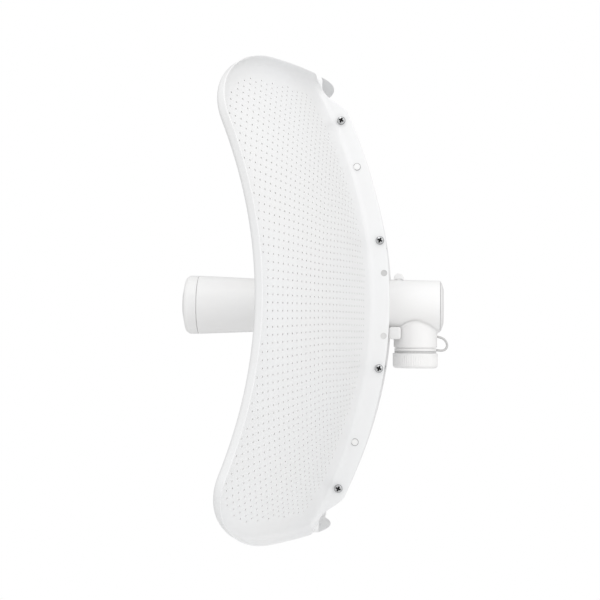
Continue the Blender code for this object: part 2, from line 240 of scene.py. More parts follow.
def powder_coat():
    finish = Finish("white_powder_coat")
    cloud = finish.noise(7.0, 3.0)
    bloom = finish.noise(55.0, 5.0, 0.6).step(0.56, 0.78)
    peel = finish.noise(620.0, 2.0)
    fleck = finish.noise(2300.0, 1.0).step(0.66, 0.74)
    base = finish.blend(cloud.step(0.3, 0.7), grey(0.845, -0.006), grey(0.83, 0.0))
    base = finish.blend(bloom * 0.35, base, grey(0.8, 0.006))
    base = finish.blend(fleck * 0.12, base, grey(0.7))
    # The walls of the holes are painted a darker grey: painted shade, so that the holes look dark.
    base = finish.blend(finish.attribute("punched") * 0.9, base, grey(0.72, 0.01))
    finish.bump(peel + fleck * 0.4, 0.00005, 0.35)
    return finish.set(
        Base_Color=base,
        Roughness=0.36 + 0.1 * peel + 0.1 * bloom,
        Specular_IOR_Level=0.5,
    )


# %% White moulded plastic


def moulded_plastic(name, level, rough=0.42):
    finish = Finish(name)
    cloud = finish.noise(16.0, 3.0)
    grain = finish.noise(2100.0, 3.0, 0.6)
    scuff = finish.noise(90.0, 6.0, 0.65).step(0.6, 0.8)
    base = finish.blend(cloud.step(0.3, 0.7), grey(level, 0.001), grey(level * 0.985, 0.007))
    base = finish.blend(scuff * 0.25, base, grey(level * 0.94, 0.004))
    # A peg's thin ring is painted dark grey: a painted shadow of the gap round the peg.
    if name == "peg_plastic":
        base = finish.blend(finish.attribute("punched"), base, grey(0.3))
    finish.bump(grain, 0.00003, 0.3)
    return finish.set(Base_Color=base, Roughness=rough + 0.08 * grain + 0.08 * scuff)


# %% Zinc-plated steel and seal rubber


def plated_steel():
    finish = Finish("zinc_plated_steel")
    tumble = finish.noise(1400.0, 5.0, 0.7)
    stain = finish.noise(420.0, 3.0).step(0.5, 0.72)
    base = finish.blend(stain * 0.6, grey(0.56, -0.01), grey(0.3, 0.015))
    # Points in a screw's cross recess and in the groove under its head are painted near-black: painted shade.
    base = finish.blend(finish.attribute("punched"), base, grey(0.02))
    finish.bump(tumble, 0.00002, 0.5)
    return finish.set(Base_Color=base, Metallic=1.0, Roughness=0.2 + 0.16 * tumble + 0.12 * stain)


def seal_rubber():
    finish = Finish("seal_rubber")
    dust = finish.noise(500.0, 4.0)
    base = finish.blend(dust.step(0.45, 0.75), grey(0.6), grey(0.66, 0.01))
    finish.bump(dust, 0.00003, 0.5)
    return finish.set(Base_Color=base, Roughness=0.62 + 0.2 * dust)


coat = powder_coat()
housing_white = moulded_plastic("white_plastic", 0.87)
feed_white = moulded_plastic("feed_plastic", 0.88, 0.38)
peg_white = moulded_plastic("peg_plastic", 0.86, 0.32)
# The two discs are the same grey plastic: the upper one is painted darker as painted shade and the lower one lighter
# as painted light.
disc_greys_painted_light_and_shade = {"upper": moulded_plastic("grey_plastic", 0.56, 0.5), "lower": moulded_plastic("grey_plastic_painted_lighter", 0.67, 0.5)}
# The lid is given a darker white than the housing: painted shade on its back-facing end.
lid_white_painted_shade = moulded_plastic("lid_plastic_painted_shade", 0.79)
strap_grey = moulded_plastic("strap_plastic", 0.58, 0.45)
steel = plated_steel()
rubber = seal_rubber()
print("finishes:", len(bpy.data.materials))

# %% [markdown]
# ## From arrays to meshes
#
# A surface is a grid of points worked out with numpy. The helper below turns the grid into faces,
# checks that the shell is closed, makes sure that its faces point outwards and hands it to the
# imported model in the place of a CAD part.

# %% Grid faces and pieces


def grid_quads(rows, columns, first=0, wrap=True):
    """Four-cornered faces of a grid of points stored row by row. It may close on itself sideways."""
    r = np.arange(rows - 1)[:, None]
    c = np.arange(columns if wrap else columns - 1)[None, :]
    n = (c + 1) % columns
    quads = np.stack([r * columns + c, r * columns + n, (r + 1) * columns + n, (r + 1) * columns + c], -1)
    return first + quads.reshape(-1, 4)


def signed_volume(points, triangles):
    """A sixth of the sum of the corners' triple products: positive if the faces point outwards."""
    a, b, c = (points[triangles[:, k]] for k in range(3))
    return np.einsum("ij,ij->", a, np.cross(b, c)) / 6.0


def paint_shade(mesh, domain, value):
    """Store a number as the mesh attribute 'punched', by which the finishes paint shade: in holes, in recesses and in
    gaps.
    """
    mesh.attributes.new("punched", "FLOAT", domain).data.foreach_set("value", value.astype(np.float32))


def open_edges(quads, triangles):
    """How many edges aren't shared by exactly two faces that run opposite ways along them."""
    runs = [np.stack([faces, np.roll(faces, -1, 1)], -1).reshape(-1, 2) for faces in (quads, triangles)]
    runs = np.concatenate(runs)
    key = runs[:, 0].astype(np.int64) << 32 | runs[:, 1]
    back = runs[:, 1].astype(np.int64) << 32 | runs[:, 0]
    return int((~np.isin(key, back)).sum() + len(key) - len(np.unique(key)))


def add_piece(name, node, points, quads, triangles, material, slot, crease=40.0):
    """Make a closed mesh, put it in the place of a CAD node and give it its finish."""
    quads = np.asarray(quads, np.int64).reshape(-1, 4)
    triangles = np.asarray(triangles, np.int64).reshape(-1, 3)
    points = (np.asarray(points, float) - MODEL_ORIGIN) * 0.001
    corners = np.concatenate([quads[:, [0, 1, 2]], quads[:, [0, 2, 3]], triangles])
    if signed_volume(points - points.mean(0), corners) < 0.0:
        quads = quads[:, ::-1]
        triangles = triangles[:, ::-1]
    loose = open_edges(quads, triangles)
    mesh = bpy.data.meshes.new(name)
    mesh.vertices.add(len(points))
    mesh.vertices.foreach_set("co", points.ravel())
    mesh.loops.add(quads.size + triangles.size)
    mesh.loops.foreach_set("vertex_index", np.concatenate([quads.ravel(), triangles.ravel()]))
    mesh.polygons.add(len(quads) + len(triangles))
    starts = np.concatenate([np.arange(len(quads)) * 4, quads.size + np.arange(len(triangles)) * 3])
    mesh.polygons.foreach_set("loop_start", starts)
    mesh.update(calc_edges=True)
    mesh.shade_smooth()
    mesh.set_sharp_from_angle(angle=math.radians(crease))
    mesh.materials.append(material)
    piece = bpy.data.objects.new(name, mesh)
    bpy.context.scene.collection.objects.link(piece)
    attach(piece, "root")
    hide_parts(node)
    print(f"{name}: {len(corners)} triangles" + (f", {loose} open edges" if loose else ""))
    return piece


# %% [markdown]
# ## The punched panels
#
# The holes lie on rings round the dish's axis, evenly spaced along the curve of the sheet, and on
# each ring they keep an even step too. They are real holes here: each is a ring of points cut out
# of the flat plan of a panel, and a constrained Delaunay triangulation fills the sheet between
# them. The plan is then laid onto the paraboloid.

# %% Where the holes are
RING_PITCH = 6.45
HOLE_RADIUS = 0.84
HOLE_SIDES = 8


def radius_at(arc):
    """Distance from the axis after walking this far along the parabola from its vertex."""
    r = np.linspace(0.0, 330.0, 3000)
    u = r / (2.0 * FOCAL)
    walked = 0.5 * r * np.sqrt(1.0 + u * u) + FOCAL * np.arcsinh(u)
    return np.interp(arc, walked, r)


def ring_holes(first_ring, last_ring, reach):
    """Hole centres on rings, at half steps above and below a middle line, as (along, across)."""
    centres = []
    for number in range(first_ring, last_ring + 1):
        radius = float(radius_at(number * RING_PITCH))
        step = 5.33 + 0.0138 * max(0.0, radius - 172.0)
        half = int(radius * reach / step)
        angle = (np.arange(-half, half) + 0.5) * step / radius
        centres.append(np.stack([radius * np.cos(angle), radius * np.sin(angle)], -1))
    return np.concatenate(centres)


def hole_loops(centres):
    """A small polygon round each centre, narrowed towards the axis by the slope of the sheet."""
    radius = np.linalg.norm(centres, axis=1)
    outward = centres / radius[:, None]
    sideways = np.stack([-outward[:, 1], outward[:, 0]], -1)
    narrow = 1.0 / np.sqrt(1.0 + (radius / (2.0 * FOCAL)) ** 2)
    angle = 2.0 * np.pi * (np.arange(HOLE_SIDES) + 0.5) / HOLE_SIDES
    along = np.cos(angle)[None, :, None] * (outward * narrow[:, None])[:, None, :]
    across = np.sin(angle)[None, :, None] * sideways[:, None, :]
    return centres[:, None, :] + HOLE_RADIUS * (along + across)


# %% [markdown]
# ### Filling the sheet between the holes
#
# Points on a loose grid are added in the plain margins, so that no triangle there is long enough
# to flatten the curve.

# %% Triangulate a plan with holes


def inside(points, loop):
    """Even-odd test: is each point inside a closed outline?"""
    a, b = loop, np.roll(loop, -1, 0)
    x, z = points[:, 0:1], points[:, 1:2]
    crosses = (a[None, :, 1] > z) != (b[None, :, 1] > z)
    run = (b[:, 0] - a[:, 0]) / np.where(b[:, 1] == a[:, 1], 1e-9, b[:, 1] - a[:, 1])
    at = a[None, :, 0] + (z - a[None, :, 1]) * run[None, :]
    return (np.sum(crosses & (x < at), axis=1) % 2) == 1


def filler_points(outline, centres, step=7.0, clear=3.4):
    """Grid points inside the outline that keep clear of the holes and of the edge."""
    low, high = outline.min(0), outline.max(0)
    gx, gz = np.meshgrid(np.arange(low[0], high[0], step), np.arange(low[1], high[1], step))
    points = np.stack([gx.ravel(), gz.ravel()], -1)
    points[:, 0] += 0.5 * step * (np.round((points[:, 1] - low[1]) / step) % 2)
    points = points[inside(points, outline)]
    for others, gap in ((centres, clear), (outline, 0.45 * step)):
        away = np.linalg.norm(points[:, None, :] - others[None, :, :], axis=-1).min(1)
        points = points[away > gap]
    return points


def fill_plan(outline, loops, extra):
    """Triangles between an outline and the hole loops. Points keep their order."""
    count, sides = loops.shape[:2]
    points = np.concatenate([outline, loops.reshape(-1, 2), extra])
    ring = np.arange(len(outline))
    edges = [np.stack([ring, np.roll(ring, -1)], -1)]
    corner = len(outline) + np.arange(count * sides).reshape(count, sides)
    edges.append(np.stack([corner, np.roll(corner, -1, 1)], -1).reshape(-1, 2))
    edges = np.concatenate(edges)
    found = delaunay_2d_cdt([tuple(p) for p in points], edges.tolist(), [], 1, 1e-6, True)
    source = np.array([ids[0] for ids in found[3]])
    triangles = source[np.array([f for f in found[2] if len(f) == 3])]
    owner = np.full(len(points), -1)
    owner[corner.ravel()] = np.repeat(np.arange(count), sides)
    mine = owner[triangles]
    in_a_hole = (mine[:, 0] >= 0) & (mine[:, 0] == mine[:, 1]) & (mine[:, 1] == mine[:, 2])
    outside = np.all(triangles < len(outline), 1) & ~inside(points[triangles].mean(1), outline)
    triangles = triangles[~(in_a_hole | outside)]
    a, b, c = (points[triangles[:, k]] for k in range(3))
    turn_left = (b - a)[:, 0] * (c - a)[:, 1] - (b - a)[:, 1] * (c - a)[:, 0] > 0.0
    triangles[~turn_left] = triangles[~turn_left][:, ::-1]
    return points, triangles, corner


# %% [markdown]
# ### Turning the edge up
#
# A press folds the edge of each panel back: into a tall flange where it bolts to its neighbour,
# and into a low lip elsewhere. The fold is a swept profile. At each point of the outline it
# starts level with the sheet, follows an arc until it points along the wall, and goes straight on
# to the wall's height. The wall's far edge is rounded over, and the same points pushed back by
# the sheet's thickness make the other face.

# %% Fold a wall round a panel
SHEET = 1.0
WALL_ROWS = 14
EDGE_ROWS = 3


def folded_wall(start, base, wall, height):
    """Rows of points and normals from the sheet's tangent line up to the wall's edge.

    start and base are (x, z) plans of the line where the fold begins and of the sharp corner
    that it rounds off. wall is the wall's direction and height its length from that corner.
    """
    foot = np.stack([start[:, 0], surface_y(start[:, 0], start[:, 1]), start[:, 1]], -1)
    corner = np.stack([base[:, 0], surface_y(base[:, 0], base[:, 1]), base[:, 1]], -1)
    normal = surface_normal(start[:, 0], start[:, 1])
    out = corner - foot
    out -= normal * np.sum(out * normal, -1, keepdims=True)
    reach = np.linalg.norm(out, axis=-1)
    out = unit(out)
    level = unit(wall - out * np.sum(wall * out, -1, keepdims=True))
    bend = np.arccos(np.clip(np.sum(wall * out, -1), -1.0, 1.0))
    radius = reach / np.tan(0.5 * bend)
    rise = np.clip(1.0 - height * np.sin(bend) / radius, -1.0, 1.0)
    stop = np.where(height < reach, np.arccos(rise), bend)
    length = radius * stop + np.maximum(height - reach, 0.0)
    along = length[None, :] * np.linspace(0.0, 1.0, WALL_ROWS + 1)[:, None]
    angle = np.minimum(along / radius, bend)[..., None]
    extra = np.maximum(along - radius * bend, 0.0)[..., None]
    round_part = radius[:, None] * (np.sin(angle) * out + (1.0 - np.cos(angle)) * level)
    points = foot + round_part + extra * wall
    normals = np.cos(angle) * level - np.sin(angle) * out
    ahead = np.cos(angle[-1]) * out + np.sin(angle[-1]) * level
    return points, normals, ahead


def rounded_edge(last, normal, ahead):
    """Rows round the wall's far edge, a half circle as wide as the sheet is thick."""
    angle = np.pi * (np.arange(EDGE_ROWS) + 1.0)[:, None, None] / (EDGE_ROWS + 1)
    middle = last - 0.5 * SHEET * normal
    return middle + 0.5 * SHEET * (np.cos(angle) * normal + np.sin(angle) * ahead)


def panel_shell(start, base, wall, height, centres):
    """Everything of one panel: the punched floor, the folded wall and the second face."""
    extra = filler_points(start, centres)
    plan, floor, corners = fill_plan(start, hole_loops(centres), extra)
    flat = np.stack([plan[:, 0], surface_y(plan[:, 0], plan[:, 1]), plan[:, 1]], -1)
    flat_normal = surface_normal(plan[:, 0], plan[:, 1])
    rows, row_normals, ahead = folded_wall(start, base, wall, height)
    edge = rounded_edge(rows[-1], row_normals[-1], ahead)
    size, count = len(plan), len(start)
    back_rows = rows - SHEET * row_normals
    points = np.concatenate(
        [flat, rows[1:].reshape(-1, 3), edge.reshape(-1, 3), back_rows[:0:-1].reshape(-1, 3),
         flat - SHEET * flat_normal]
    )
    strip_rows = 2 * WALL_ROWS + EDGE_ROWS
    ids = size + np.arange(strip_rows * count).reshape(strip_rows, count)
    first = np.arange(count)[None, :]
    last = size + strip_rows * count + first
    ids = np.concatenate([first, ids, last])
    ahead_ids = np.roll(ids, -1, 1)
    quads = np.stack([ids[:-1], ids[1:], ahead_ids[1:], ahead_ids[:-1]], -1).reshape(-1, 4)
    other = size + strip_rows * count
    after = np.roll(corners, -1, 1)
    hole_quads = np.stack([after, corners, corners + other, after + other], -1).reshape(-1, 4)
    triangles = np.concatenate([floor[:, ::-1], floor + other])
    return points, np.concatenate([quads, hole_quads]), triangles


# %% [markdown]
# ### The wings
#
# A wing's outline is straight where it bolts on and along the top and bottom, with a wide
# rounded outer corner. Near each end the flange drops in an S to a low notch, so that the
# centre panel's end lip shows behind it.

# %% Outline and wall heights of a wing
FLANGE_FACE = 65.0
HALF_WIDTH = 258.8
HALF_HEIGHT = 192.0
EDGE_BOW = 2.4
CORNER_WIDE = 88.0
CORNER_TALL = 57.0
INNER_WIDE = 16.0
INNER_TALL = 9.0
FLANGE = 16.0
NOTCH = 4.2
LIP = 9.0


def quarter(centre, wide, tall, start, count):
    """Points on a quarter of an ellipse, clockwise from an angle in degrees."""
    angle = np.radians(start - 90.0 * np.arange(count) / count)
    return np.stack([centre[0] + wide * np.cos(angle), centre[1] + tall * np.sin(angle)], -1)


def wing_outline(by_flange, by_lip):
    """The outline, set in by one distance at the flange and by another at the lips."""
    left = FLANGE_FACE - SHEET + by_flange
    right = HALF_WIDTH - by_lip
    top = HALF_HEIGHT - by_lip
    wide, tall = CORNER_WIDE - by_lip, CORNER_TALL - by_lip
    inner_wide = max(INNER_WIDE - by_flange, 2.0)
    inner_tall = max(INNER_TALL - by_lip, 1.0)
    end, side_end = top - inner_tall, top - tall
    z = np.linspace(-end, end, 201)[:-1]
    flange = np.stack([np.full_like(z, left), z], -1)
    inner = quarter((left + inner_wide, end), inner_wide, inner_tall, 180.0, 12)
    x = np.linspace(left + inner_wide, right - wide, 46)[:-1]
    upper = np.stack([x, np.full_like(x, top)], -1)
    outer = quarter((right - wide, side_end), wide, tall, 90.0, 50)
    z = np.linspace(side_end, -side_end, 111)[:-1]
    side = np.stack([right - EDGE_BOW * (1.0 - (z / side_end) ** 2), z], -1)
    lower_outer = quarter((right - wide, -side_end), wide, tall, 0.0, 50)
    lower = np.stack([x[::-1] + (x[1] - x[0]), np.full_like(x, -top)], -1)
    lower_inner = quarter((left + inner_wide, -end), inner_wide, inner_tall, 270.0, 12)
    return np.concatenate([flange, inner, upper, outer, side, lower_outer, lower, lower_inner])


def wing_walls(base):
    """Direction and height of the wall at each point of a wing's outline."""
    x, z = base[:, 0], base[:, 1]
    near = FLANGE_FACE + 1e-6
    at_flange = x < near
    flange = FLANGE - (FLANGE - NOTCH) * smooth(np.abs(z), 166.5, 184.0)
    lip = NOTCH + (LIP - NOTCH) * smooth(x, near + 4.0, near + 30.0)
    backwards = np.broadcast_to(np.array([0.0, 1.0, 0.0]), (len(x), 3))
    lean = smooth(x, near, near + 14.0)[:, None]
    wall = unit((1.0 - lean) * backwards + lean * surface_normal(x, z))
    return wall, np.where(at_flange, flange, lip)


def wing_holes():
    """The hole centres of a wing, clear of its flange, its lips and its rounded corners."""
    centres = ring_holes(14, 50, 1.5)
    x, z = centres[:, 0], np.abs(centres[:, 1])
    keep = (x > 84.0 + 20.0 * (z / 170.0) ** 2) & (z < 176.5)
    centres = centres[keep]
    edge = wing_outline(0.0, 12.0)
    return centres[inside(centres, edge)]


FLANGE_FOLD = 5.0
LIP_FOLD = 3.6
holes = wing_holes()
wing_start = wing_outline(SHEET + FLANGE_FOLD, SHEET + LIP_FOLD)
wing_base = wing_outline(SHEET, SHEET)
wing_shell = panel_shell(wing_start, wing_base, *wing_walls(wing_base), holes)
print("holes in a wing:", len(holes))

# %% Both wings, one the mirror of the other


def mirrored(shell):
    """The same shell on the other side: x changes sign, and so does the way the faces run."""
    points, quads, triangles = shell
    return points * np.array([-1.0, 1.0, 1.0]), quads[:, ::-1], triangles[:, ::-1]




def add_panel(name, node, shell, hole_count):
    """Add a panel, and paint shade on the walls of its holes, which are the last of its quads."""
    piece = add_piece(name, node, *shell, coat, "white_panel")
    value = np.zeros(len(piece.data.loops))
    last = len(shell[1]) * 4
    value[last - hole_count * HOLE_SIDES * 4:last] = 1.0
    paint_shade(piece.data, "CORNER", value)


add_panel("near_wing_sheet", "near_wing", wing_shell, len(holes))
add_panel("far_wing_sheet", "far_wing", mirrored(wing_shell), len(holes))

# %% [markdown]
# ### The centre panel
#
# The narrow panel between the wings is made the same way. Its end lips stand square to the axis
# and rise to a low arch in the middle.

# %% Outline and walls of the centre panel
CENTRE_HALF = 63.5
CENTRE_TALL = 198.5
CENTRE_CORNER = 3.0
END_LIP = 7.7
END_ARCH = 2.7
END_FOLD = 1.5


def centre_outline(by_flange, by_end):
    half, top = CENTRE_HALF - by_flange, CENTRE_TALL - by_end
    wide, tall = max(CENTRE_CORNER - by_flange, 0.8), max(CENTRE_CORNER - by_end, 0.8)
    z = np.linspace(-(top - tall), top - tall, 211)[:-1]
    x = np.linspace(-(half - wide), half - wide, 61)[:-1]
    return np.concatenate([
        np.stack([np.full_like(z, -half), z], -1),
        quarter((-half + wide, top - tall), wide, tall, 180.0, 6),
        np.stack([x, np.full_like(x, top)], -1),
        quarter((half - wide, top - tall), wide, tall, 90.0, 6),
        np.stack([np.full_like(z, half), -z], -1),
        quarter((half - wide, -top + tall), wide, tall, 0.0, 6),
        np.stack([-x, np.full_like(x, -top)], -1),
        quarter((-half + wide, -top + tall), wide, tall, 270.0, 6),
    ])


def centre_walls(base):
    """All walls point straight back. The flanges dip before each end and the end lips arch."""
    x, z = base[:, 0], np.abs(base[:, 1])
    full, low = FLANGE - 0.3, NOTCH - 0.4
    flange = full - (full - low) * smooth(z, 166.5, 183.0)
    flange += (END_LIP - low) * smooth(z, 187.0, CENTRE_TALL - 2.0)
    end = END_LIP + END_ARCH * (1.0 - (x / CENTRE_HALF) ** 2)
    height = np.where(z > CENTRE_TALL - SHEET - 0.01, end, flange)
    wall = np.broadcast_to(np.array([0.0, 1.0, 0.0]), (len(x), 3))
    return wall, height


def centre_holes():
    """The same rings of holes, above and below the hub and between the flanges."""
    across = ring_holes(8, 31, 1.2)
    keep = (np.abs(across[:, 1]) < 46.0) & (across[:, 0] < 180.0)
    across = across[keep]
    upper = across[:, ::-1]
    return np.concatenate([upper, upper * np.array([1.0, -1.0])])


centre_start = centre_outline(SHEET + FLANGE_FOLD, SHEET + END_FOLD)
centre_base = centre_outline(SHEET, SHEET)
punched = centre_holes()
centre_shell = panel_shell(centre_start, centre_base, *centre_walls(centre_base), punched)
print("holes in the centre panel:", len(punched))
add_panel("centre_sheet", "centre_panel", centre_shell, len(punched))

# %% [markdown]
# ## Turned pieces
#
# Most of the rest is round: the feed, the housing, the port, the screws. Each is a profile of
# (radius, height) points turned about an axis. Corners of a profile are rounded first, because a
# moulded or machined edge always has a small radius, and it is that radius which catches light.

# %% Round a profile and turn it


def rounded(profile, steps=5):
    """Replace each corner (radius, height, rounding) of a profile with a short arc."""
    profile = [(*p, 0.0) if len(p) == 2 else p for p in profile]
    points = np.array([p[:2] for p in profile], float)
    result = [points[0]]
    for k in range(1, len(points) - 1):
        before, here, after = points[k - 1], points[k], points[k + 1]
        size = profile[k][2]
        if size == 0.0:
            result.append(here)
            continue
        first, second = unit(before - here), unit(after - here)
        room = 0.45 * min(np.linalg.norm(before - here), np.linalg.norm(after - here))
        half = 0.5 * math.acos(float(np.clip(np.dot(first, second), -1.0, 1.0)))
        cut = min(size / math.tan(half), room)
        for t in np.linspace(0.0, 1.0, steps):
            one, two = here + first * cut, here + second * cut
            result.append((1 - t) ** 2 * one + 2 * t * (1 - t) * here + t * t * two)
    result.append(points[-1])
    return np.array(result)


def axis_frame(direction):
    """Three unit vectors: two across an axis and the axis itself."""
    along = unit(np.array(direction, float))
    helper = np.array([0.0, 0.0, 1.0]) if abs(along[2]) < 0.9 else np.array([1.0, 0.0, 0.0])
    across = unit(np.cross(helper, along))
    return across, np.cross(along, across), along


def turned(profile, origin, direction, sides=72, shape=None, ring=False):
    """Turn a profile about an axis. shape may move the points, given (angle, radius, height).

    Each point is the axis point at its height plus its radius times a unit vector that turns
    with the angle. A profile that starts and ends on the axis closes in a fan at each end, and
    a ring's profile closes on itself.
    """
    profile = np.asarray(profile, float)
    body = profile if ring else profile[1:-1]
    angle = 2.0 * np.pi * np.arange(sides) / sides
    angle, radius = np.meshgrid(angle, body[:, 0])
    height = np.repeat(body[:, 1][:, None], sides, 1)
    if shape:
        radius, height = shape(angle, radius, height)
    u, v, w = axis_frame(direction)
    points = origin + radius[..., None] * (np.cos(angle)[..., None] * u + np.sin(angle)[..., None] * v)
    points = (points + height[..., None] * w).reshape(-1, 3)
    rows = len(body)
    if ring:
        ids = np.arange(rows * sides).reshape(rows, sides)
        quads = np.stack([ids, np.roll(ids, -1, 1), np.roll(np.roll(ids, -1, 0), -1, 1), np.roll(ids, -1, 0)], -1)
        return points, quads.reshape(-1, 4), np.zeros((0, 3), int)
    quads = grid_quads(rows, sides)
    ends = origin + profile[[0, -1], 1][:, None] * w
    points = np.concatenate([points, ends])
    c = np.arange(sides)
    n = (c + 1) % sides
    low = np.stack([n, c, np.full(sides, rows * sides)], -1)
    last = (rows - 1) * sides
    high = np.stack([last + c, last + n, np.full(sides, rows * sides + 1)], -1)
    return points, quads, np.concatenate([low, high])


AXIS = (0.0, 1.0, 0.0)
VERTEX = np.zeros(3)

# %% [markdown]
# ## The feed
#
# The feed is a slightly tapered tube with a domed cap pressed onto its end. The joint shows as a
# fine groove.

# %% Feed tube and its cap
FEED_TIP = -177.6
FEED_SEAM = -163.0
FEED_WIDE = 26.4
FEED_ROOT = 19.3

tube = rounded([
    (0.0, FEED_SEAM + 0.15),
    (FEED_WIDE - 0.35, FEED_SEAM + 0.15),
    (FEED_WIDE, FEED_SEAM + 0.7, 0.5),
    (FEED_ROOT, 1.6, 0.0),
    (0.0, 1.6),
])
add_piece("feed_tube_shell", "feed_tube", *turned(tube, VERTEX, AXIS, 96), feed_white, "white_plastic")

dome = rounded([
    (0.0, FEED_TIP),
    (12.0, FEED_TIP + 0.4, 10.0),
    (24.0, FEED_TIP + 3.1, 12.0),
    (FEED_WIDE, FEED_TIP + 6.2, 4.0),
    (FEED_WIDE, FEED_SEAM - 0.7, 0.5),
    (FEED_WIDE - 0.35, FEED_SEAM - 0.15),
    (0.0, FEED_SEAM - 0.15),
], 8)
add_piece("feed_end_cap", "feed_cap", *turned(dome, VERTEX, AXIS, 96), feed_white, "white_plastic")

# %% [markdown]
# ## The housing behind the dish
#
# The radio sits in a round housing that passes through the hub ring. A chamfered lid closes it,
# a round lug stands on its top, and two small latches hold it to the hub.

# %% Housing, lid and hub ring
HOUSING_FRONT = 1.9
HOUSING_SEAM = 55.2
HOUSING_END = 58.4
HUB_FACE = 9.5


def housing_radius(y):
    """The housing narrows evenly from front to back."""
    return 24.1 - 0.9 * (y - HOUSING_FRONT) / (HOUSING_SEAM - HOUSING_FRONT)


seam_radius = housing_radius(HOUSING_SEAM)
barrel = rounded([
    (0.0, HOUSING_FRONT),
    (housing_radius(HOUSING_FRONT), HOUSING_FRONT, 0.6),
    (seam_radius, HOUSING_SEAM - 0.1, 0.3),
    (0.0, HOUSING_SEAM - 0.1),
])
add_piece("housing_barrel", "rear_housing", *turned(barrel, VERTEX, AXIS, 96), housing_white, "white_plastic")

lid = rounded([
    (0.0, HOUSING_SEAM + 0.15),
    (22.9, HOUSING_SEAM + 0.15, 0.2),
    (21.0, HOUSING_SEAM + 1.4, 0.8),
    (15.6, HOUSING_END, 1.2),
    (13.9, HOUSING_END, 0.3),
    (13.6, HOUSING_END - 0.3, 0.2),
    (0.0, HOUSING_END - 0.3),
])
add_piece("housing_lid", "rear_end_cap", *turned(lid, VERTEX, AXIS, 96), lid_white_painted_shade, "white_plastic")

bore = housing_radius(0.0) + 0.3
collar = rounded([
    (bore + 3.0, -0.5),
    (33.0, -0.5, 0.6),
    (33.0, HUB_FACE, 1.0),
    (bore, HUB_FACE, 0.6),
    (bore, -0.5, 0.4),
    (bore + 3.0, -0.5),
])[:-1]
add_piece("hub_collar", "hub_ring", *turned(collar, VERTEX, AXIS, 96, ring=True), housing_white, "white_plastic")

# %% [markdown]
# ### Blocks with soft edges
#
# A latch is a small block with rounded edges. It is a sphere pushed towards a box: the sine and
# cosine in its formula are raised to a small power, which flattens the faces and keeps the
# corners round.

# %% Latches and the lug


def soft_block(low, high, power=0.34, rows=22, columns=40):
    """A superellipsoid between two corners."""
    low, high = np.array(low, float), np.array(high, float)

    def bent(value):
        return np.sign(value) * np.abs(value) ** power

    rise = np.pi * (np.arange(rows) + 1.0) / (rows + 1) - 0.5 * np.pi
    turn_round = 2.0 * np.pi * np.arange(columns) / columns
    turn_round, rise = np.meshgrid(turn_round, rise)
    shape = np.stack([
        bent(np.cos(rise)) * bent(np.cos(turn_round)),
        bent(np.cos(rise)) * bent(np.sin(turn_round)),
        bent(np.sin(rise)),
    ], -1).reshape(-1, 3)
    shape = np.concatenate([shape, [[0.0, 0.0, -1.0], [0.0, 0.0, 1.0]]])
    points = 0.5 * (low + high) + 0.5 * (high - low) * shape
    c = np.arange(columns)
    n = (c + 1) % columns
    last = (rows - 1) * columns
    fans = [np.stack([n, c, np.full(columns, rows * columns)], -1)]
    fans.append(np.stack([last + c, last + n, np.full(columns, rows * columns + 1)], -1))
    return points, grid_quads(rows, columns), np.concatenate(fans)


for side, side_name in ((1.0, "near"), (-1.0, "far")):
    x = sorted((side * 15.6, side * 22.4))
    block = soft_block((x[0], HUB_FACE + 0.3, -30.0), (x[1], 20.3, -18.9))
    add_piece(f"latch_{side_name}", f"hub_latch_{side_name}", *block, housing_white, "white_plastic")

LUG_Y = 18.1
LUG_RADIUS = 4.6
LUG_TOP = 29.6
LUG_HALF = 5.5


def lug_outline():
    """Side view of the lug: a half circle on a stem that flares out into the housing."""
    turn_over = np.linspace(np.pi, 0.0, 17)
    top = LUG_TOP - LUG_RADIUS
    head = np.stack([LUG_RADIUS * np.cos(turn_over), top + LUG_RADIUS * np.sin(turn_over)], -1)
    down = np.linspace(0.0, 1.0, 8)[1:]
    flare = np.stack([LUG_RADIUS + 1.6 * down ** 3, top - (top - 22.0) * down], -1)
    foot = np.array([[4.0, 20.5], [-4.0, 20.5]])
    left = flare[::-1] * np.array([-1.0, 1.0])
    return np.concatenate([head, flare, foot, left])


def thick_outline(outline, half, rounding, origin, steps=5):
    """An outline pushed out sideways along X, its edges rounded by drawing the last rows in."""
    ahead = np.roll(outline, -1, 0) - np.roll(outline, 1, 0)
    inward = unit(np.stack([ahead[:, 1], -ahead[:, 0]], -1))
    angle = np.linspace(0.0, 0.5 * np.pi, steps)
    x = np.concatenate([-half + rounding * (1.0 - np.cos(angle)), half - rounding * (1.0 - np.cos(angle[::-1]))])
    draw = np.concatenate([rounding * (1.0 - np.sin(angle)), rounding * (1.0 - np.sin(angle[::-1]))])
    plan = outline[None] + draw[:, None, None] * inward[None]
    points = np.concatenate([np.broadcast_to(x[:, None, None], (*plan.shape[:2], 1)), plan], -1)
    rows, count = plan.shape[:2]
    points = points.reshape(-1, 3)
    ends = np.stack([points[:count].mean(0), points[-count:].mean(0)])
    c = np.arange(count)
    n = (c + 1) % count
    last = (rows - 1) * count
    fans = [np.stack([n, c, np.full(count, rows * count)], -1)]
    fans.append(np.stack([last + c, last + n, np.full(count, rows * count + 1)], -1))
    return np.concatenate([points, ends]) + origin, grid_quads(rows, count), np.concatenate(fans)


lug = thick_outline(lug_outline(), LUG_HALF, 0.9, np.array([0.0, LUG_Y, 0.0]))
add_piece("lug_post", "top_lug", *lug, housing_white, "white_plastic")

# %% [markdown]
# ## The cable port
#
# The neck grows out of the underside of the housing with a small fillet. Where a cylinder meets a
# larger one, the joint is a saddle: at each angle round the neck its top stops at the height of
# the housing's surface there.

# %% Port neck
PORT_Y = 33.3
NECK_RADIUS = 19.5
NECK_END = -37.0
SPIGOT_RADIUS = 16.5
SPIGOT_END = -52.4
RING_TOP = -38.2
PORT = np.array([0.0, PORT_Y, 0.0])
DOWN = (0.0, 0.0, 1.0)


